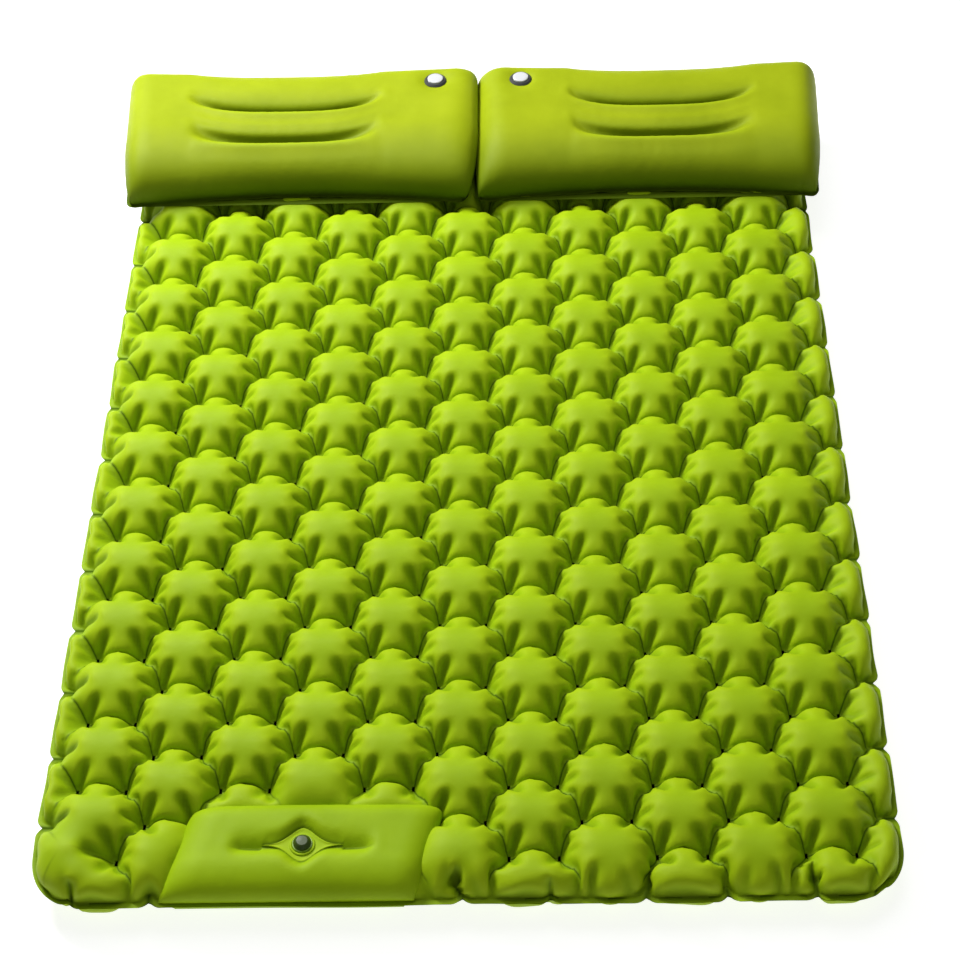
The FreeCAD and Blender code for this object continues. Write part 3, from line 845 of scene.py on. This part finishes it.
class Nodes:
    """A material's node tree, with short calls to add and link nodes."""

    def __init__(self, name):
        self.material = bpy.data.materials.new(name)
        self.material.use_nodes = True
        self.tree = self.material.node_tree
        self.shader = self.tree.nodes["Principled BSDF"]

    def add(self, kind, inputs=None, **settings):
        node = self.tree.nodes.new(kind)
        for key, value in settings.items():
            setattr(node, key, value)
        for key, value in (inputs or {}).items():
            self.feed(node.inputs[key], value)
        return node

    def feed(self, socket, value):
        if isinstance(value, bpy.types.NodeSocket):
            self.tree.links.new(value, socket)
        else:
            socket.default_value = value

    def mark(self, name):
        return self.add("ShaderNodeAttribute", attribute_name=name).outputs["Fac"]

    def math(self, operation, a, b=0.0):
        node = self.add("ShaderNodeMath", {0: a, 1: b}, operation=operation)
        return node.outputs[0]

    def vector(self, operation, a, b=(0.0, 0.0, 0.0), c=(0.0, 0.0, 0.0)):
        node = self.add("ShaderNodeVectorMath", {0: a, 1: b, 2: c}, operation=operation)
        return node.outputs[0]

    def noise(self, place, scale, detail=3.0, roughness=0.55):
        node = self.add("ShaderNodeTexNoise", {"Vector": place, "Scale": scale,
                                               "Detail": detail, "Roughness": roughness})
        return node.outputs["Fac"]

    def mix(self, share, a, b):
        node = self.add("ShaderNodeMix", data_type="RGBA")
        for socket, value in ((node.inputs[0], share), (node.inputs[6], a), (node.inputs[7], b)):
            self.feed(socket, value)
        return node.outputs[2]

    def ramp(self, value, low, high):
        node = self.add("ShaderNodeMapRange", {"Value": value, "From Min": low, "From Max": high})
        return node.outputs["Result"]

    def bump(self, height, distance, strength, after=None):
        inputs = {"Height": height, "Distance": distance, "Strength": strength}
        if after is not None:
            inputs["Normal"] = after
        return self.add("ShaderNodeBump", inputs).outputs["Normal"]

    def surface(self, **sockets):
        for name, value in sockets.items():
            self.feed(self.shader.inputs[name.replace("_", " ")], value)


def colour(red, green, blue):
    return (red, green, blue, 1.0)


WEAVE_SCALE = 520.0
SHADE_LINE_WIDTH = 0.0030           # painted shade: dark line along the cell borders, where the creases lie in shade
GREEN_DARK = colour(0.255, 0.400, 0.0015)
GREEN_LIGHT = colour(0.315, 0.480, 0.0030)
# Painted highlight colour on the crests, and the lighter tone of the valve patch
GREEN_PALE_AND_CREST_HIGHLIGHT = colour(0.370, 0.510, 0.0060)
# Painted shade: a much darker copy of the green for the pillows' undersides
UNDERSIDE_SHADE_DARK = colour(0.060, 0.100, 0.0008)
UNDERSIDE_SHADE_LIGHT = colour(0.080, 0.130, 0.0012)
PILLOW_DARK = colour(0.262, 0.330, 0.0030)
PILLOW_LIGHT = colour(0.318, 0.390, 0.0060)
# Painted shade colour for the hollows, creases and folds
GREEN_SHADE = colour(0.040, 0.090, 0.0)


def honeycomb_shade_line(n):
    """Where the painted shade line lies: 0 away from the honeycomb, 1 on the borders of its cells,
    from the flat plan map.
    """
    plan = n.add("ShaderNodeUVMap", uv_map="plan").outputs["UV"]
    distances = []
    for shift in (0.0, 1.0):
        origin = (shift * PERIOD / 2, shift * ROW_PITCH, 0.0)
        moved = n.vector("SUBTRACT", plan, origin)
        half = (PERIOD / 2, ROW_PITCH, 1.0)
        wrapped = n.vector("WRAP", moved, half, tuple(-value for value in half))
        parts = n.add("ShaderNodeSeparateXYZ", {"Vector": n.vector("ABSOLUTE", wrapped)}).outputs
        slanted = n.math("ADD", n.math("MULTIPLY", parts["X"], math.cos(math.pi / 6)),
                         n.math("MULTIPLY", parts["Y"], 0.5))
        distances.append(n.math("MAXIMUM", parts["Y"], slanted))
    border = n.math("SUBTRACT", ROW_PITCH, n.math("MINIMUM", *distances))
    return n.ramp(border, SHADE_LINE_WIDTH, 0.0)


def weave_normal(n, place, cloth):
    """Soft ripples, fine crinkles and the plain weave."""
    warp = n.add("ShaderNodeTexWave", {"Vector": cloth, "Scale": WEAVE_SCALE}, bands_direction="X")
    weft = n.add("ShaderNodeTexWave", {"Vector": cloth, "Scale": WEAVE_SCALE}, bands_direction="Y")
    weave = n.math("MULTIPLY", warp.outputs["Fac"], weft.outputs["Fac"])
    normal = n.bump(n.noise(place, 38.0, 5.0, 0.6), 0.003, 0.12)
    normal = n.bump(n.noise(cloth, 260.0, 3.0, 0.6), 0.0008, 0.18, normal)
    return n.bump(weave, 0.0002, 0.30, normal)


def fabric_material(name, dark, light, use_uv=True):
    """Coated nylon: fine plain weave under a satin film, with painted shade down in the hollows and
    creases and a painted highlight on the crests.
    """
    n = Nodes(name)
    place = n.add("ShaderNodeTexCoord").outputs["Object"]
    cloth = n.add("ShaderNodeUVMap", uv_map="cloth").outputs["UV"] if use_uv else place
    tint = n.mix(n.ramp(n.noise(place, 9.0, 4.0), 0.30, 0.70), dark, light)
    yarn = n.noise(cloth, 900.0, 1.0)
    tint = n.mix(n.math("MULTIPLY", n.ramp(yarn, 0.35, 0.75), 0.10), tint, dark)
    normal = weave_normal(n, place, cloth)
    if use_uv:
        hollow_shade_and_highlight = n.mark("hollow_shade_and_highlight")
        # Painted shade down in the hollows
        shade_share = n.math("MULTIPLY", n.ramp(hollow_shade_and_highlight, 0.0, 1.0), 0.42)
        # Painted highlight on the crests
        tint = n.mix(n.math("MULTIPLY", n.ramp(hollow_shade_and_highlight, -0.05, -0.6), 0.55), tint, GREEN_PALE_AND_CREST_HIGHLIGHT)
        # Painted shade line along the cell-border creases
        line = n.math("MULTIPLY", honeycomb_shade_line(n), n.mark("crease"))
        # Painted shade in the folds
        shade_share = n.math("MAXIMUM", shade_share, n.math("MAXIMUM", line, n.mark("fold_shade")))
        # Mix the painted shade into the colour
        tint = n.mix(shade_share, tint, GREEN_SHADE)
    else:
        shade_share = 0.0
    rough = n.math("ADD", n.math("MULTIPLY", n.noise(place, 60.0), 0.14), 0.44)
    rough = n.math("MAXIMUM", rough, shade_share)
    n.surface(Base_Color=tint, Roughness=rough, Normal=normal)
    n.surface(Sheen_Weight=0.01, Sheen_Roughness=0.45, Specular_IOR_Level=0.10)
    n.shader.inputs["Sheen Tint"].default_value = colour(0.75, 0.95, 0.20)
    return n.material


def plastic_material(name, dark, light, roughness, speck=60.0, coat=0.0):
    """Moulded plastic with a fine spark-eroded grain and slightly uneven gloss."""
    n = Nodes(name)
    place = n.add("ShaderNodeTexCoord").outputs["Object"]
    tint = n.mix(n.ramp(n.noise(place, speck), 0.3, 0.7), dark, light)
    grain = n.noise(place, 1600.0, 2.0)
    normal = n.bump(n.noise(place, 120.0), 0.0006, 0.10)
    normal = n.bump(grain, 0.0001, 0.25, normal)
    rough = n.math("ADD", n.math("MULTIPLY", n.noise(place, 220.0), 0.14), roughness)
    n.surface(Base_Color=tint, Roughness=rough, Normal=normal)
    n.surface(Coat_Weight=coat, Coat_Roughness=0.08)
    return n.material


def foam_material(name):
    n = Nodes(name)
    place = n.add("ShaderNodeTexCoord").outputs["Object"]
    cells = n.add("ShaderNodeTexVoronoi", {"Vector": place, "Scale": 420.0})
    tint = n.mix(cells.outputs["Distance"], colour(0.10, 0.10, 0.09), colour(0.34, 0.33, 0.30))
    normal = n.bump(cells.outputs["Distance"], 0.0012, 0.8)
    n.surface(Base_Color=tint, Roughness=0.95, Normal=normal)
    return n.material


def steel_material(name):
    n = Nodes(name)
    place = n.add("ShaderNodeTexCoord").outputs["Object"]
    draw = n.add("ShaderNodeMapping", {"Vector": place, "Scale": (1.0, 1.0, 6.0)})
    streak = n.noise(draw.outputs["Vector"], 500.0)
    tint = n.mix(streak, colour(0.42, 0.43, 0.45), colour(0.66, 0.67, 0.68))
    rough = n.math("ADD", n.math("MULTIPLY", streak, 0.18), 0.22)
    n.surface(Base_Color=tint, Roughness=rough, Metallic=1.0, Normal=n.bump(streak, 0.0001, 0.3))
    return n.material


def silver_material(name):
    """Silver-lacquered plastic of the valve buttons."""
    n = Nodes(name)
    place = n.add("ShaderNodeTexCoord").outputs["Object"]
    flake = n.noise(place, 2400.0, 1.0)
    tint = n.mix(n.ramp(flake, 0.3, 0.7), colour(0.74, 0.76, 0.79), colour(0.90, 0.91, 0.93))
    rough = n.math("ADD", n.math("MULTIPLY", n.noise(place, 300.0), 0.10), 0.16)
    n.surface(Base_Color=tint, Roughness=rough, Metallic=0.35, Normal=n.bump(flake, 0.00005, 0.3))
    n.surface(Coat_Weight=0.5, Coat_Roughness=0.06)
    return n.material


def paint(thing, material):
    thing.data.materials.clear()
    thing.data.materials.append(material)


# ---------------------------------------------------------------- studio

def make_floor():
    mesh = bpy.data.meshes.new("floor")
    reach = 8.0
    corners = [(-reach, -reach, 0), (reach, -reach, 0), (reach, reach, 0), (-reach, reach, 0)]
    mesh.from_pydata(corners, [], [(0, 1, 2, 3)])
    floor = bpy.data.objects.new("floor", mesh)
    bpy.context.collection.objects.link(floor)
    n = Nodes("pale_floor")
    place = n.add("ShaderNodeTexCoord").outputs["Object"]
    tint = n.mix(n.noise(place, 2.0), colour(0.44, 0.44, 0.44), colour(0.46, 0.46, 0.46))
    n.surface(Base_Color=tint, Roughness=0.9, Specular_IOR_Level=0.1)
    n.surface(Emission_Color=colour(1.0, 1.0, 1.0), Emission_Strength=0.84)
    paint(floor, n.material)


def area_light(name, place, target, size, power, tint=(1.0, 1.0, 1.0)):
    data = bpy.data.lights.new(name, "AREA")
    data.shape = "DISK"
    data.size = size
    data.energy = power
    data.color = tint
    lamp = bpy.data.objects.new(name, data)
    lamp.location = place
    aim = Vector(target) - Vector(place)
    lamp.rotation_euler = aim.to_track_quat("-Z", "Y").to_euler()
    bpy.context.collection.objects.link(lamp)


def make_lights():
    area_light("key", (-1.9, 1.9, 2.6), (0.0, 0.0, 0.0), 1.3, 194)
    area_light("top", (0.0, 1.0, 4.0), (0.0, 0.0, 0.0), 2.5, 48)
    area_light("front", (0.6, -4.5, 2.6), (0.0, 0.0, 0.0), 3.0, 4)
    world = bpy.data.worlds.new("studio")
    world.use_nodes = True
    background = world.node_tree.nodes["Background"]
    background.inputs["Color"].default_value = colour(0.97, 0.98, 1.0)
    background.inputs["Strength"].default_value = 0.16
    bpy.context.scene.world = world
    bpy.context.scene.view_settings.view_transform = "Standard"


CAMERA_PLACE = (0.1060, -2.7668, 2.9298)
CAMERA_TURN = (42.6740, 1.5212, 0.2358)  # degrees up from straight down, of roll and of heading
CAMERA_LENS = 81.43


def make_camera():
    data = bpy.data.cameras.new("camera")
    data.sensor_fit = "HORIZONTAL"
    data.sensor_width = 36.0
    data.lens = CAMERA_LENS
    camera = bpy.data.objects.new("camera", data)
    turn = Euler([math.radians(angle) for angle in CAMERA_TURN])
    camera.matrix_world = Matrix.LocRotScale(Vector(CAMERA_PLACE), turn, None)
    bpy.context.collection.objects.link(camera)
    bpy.context.scene.camera = camera


# ---------------------------------------------------------------- assembly

def give_way(node):
    """Gives the foam or spring its own copy of its mesh."""
    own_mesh(frame["nodes"][node])


make_camera()
make_floor()
make_lights()

fabric = fabric_material("green_fabric_look", GREEN_DARK, GREEN_LIGHT)
pillow_fabric = fabric_material("pillow_fabric_look", PILLOW_DARK, PILLOW_LIGHT)
underside_shade_fabric = fabric_material("underside_shade_look", UNDERSIDE_SHADE_DARK, UNDERSIDE_SHADE_LIGHT)
plain_fabric = fabric_material("green_fabric_inside", GREEN_DARK, GREEN_LIGHT, use_uv=False)
green_plastic = plastic_material("green_plastic_look", colour(0.20, 0.36, 0.01),
                                 colour(0.26, 0.43, 0.02), 0.26, coat=0.3)
patch_plastic = fabric_material("valve_patch_look", GREEN_LIGHT, GREEN_PALE_AND_CREST_HIGHLIGHT, use_uv=False)
plug_plastic = plastic_material("pump_plug_look", colour(0.030, 0.060, 0.001),
                                colour(0.045, 0.080, 0.002), 0.30, coat=0.12)
ring_plastic = plastic_material("valve_ring_look", colour(0.035, 0.037, 0.040),
                                colour(0.060, 0.062, 0.066), 0.28, coat=0.3)
rubber = plastic_material("silicone_look", colour(0.30, 0.31, 0.30), colour(0.40, 0.41, 0.40), 0.5)
LOOKS = {
    "green_fabric": plain_fabric,
    "green_plastic": green_plastic,
    "valve_grey": ring_plastic,
    "valve_silver": silver_material("valve_silver_look"),
    "silicone": rubber,
    "foam": foam_material("foam_look"),
    "spring_steel": steel_material("spring_steel_look"),
}
for part in frame["record"]["subparts"]:
    paint(frame["nodes"][part["node"]], LOOKS[part["material_slot"]])

quilt_top, quilt_bottom = make_mattress()
for piece, node in ((quilt_top, "mattress_top_sheet"), (quilt_bottom, "mattress_bottom_sheet")):
    paint(piece, fabric)
    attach(piece, "mattress")
    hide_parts(node)

give_way("pump_foam")
for side in ("left", "right"):
    give_way(side + "_valve_spring")

baffle = make_chamber_wall()
paint(baffle, plain_fabric)
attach(baffle, "mattress")
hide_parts("pump_chamber_wall")

lobes = make_pump_cover()
paint(lobes, fabric)
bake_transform(lobes)
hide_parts("pump_cover")

eye = make_eye_patch()
paint(eye, patch_plastic)
paint(frame["nodes"]["pump_valve_plug"], plug_plastic)
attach(eye, "pump_top")
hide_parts("pump_valve_patch")

for name, side, seed in (("left", -1, 31), ("right", 1, 47)):
    dome = make_pillow(name, side, seed)
    paint(dome, pillow_fabric)
    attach(dome, "mattress")
    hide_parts(name + "_pillow_cover")
    base = make_pillow_base(name, side, seed + 1)
    # Painted shade: the underside is coloured a much darker green than the dome
    paint(base, underside_shade_fabric)
    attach(base, "mattress")
    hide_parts(name + "_pillow_base")
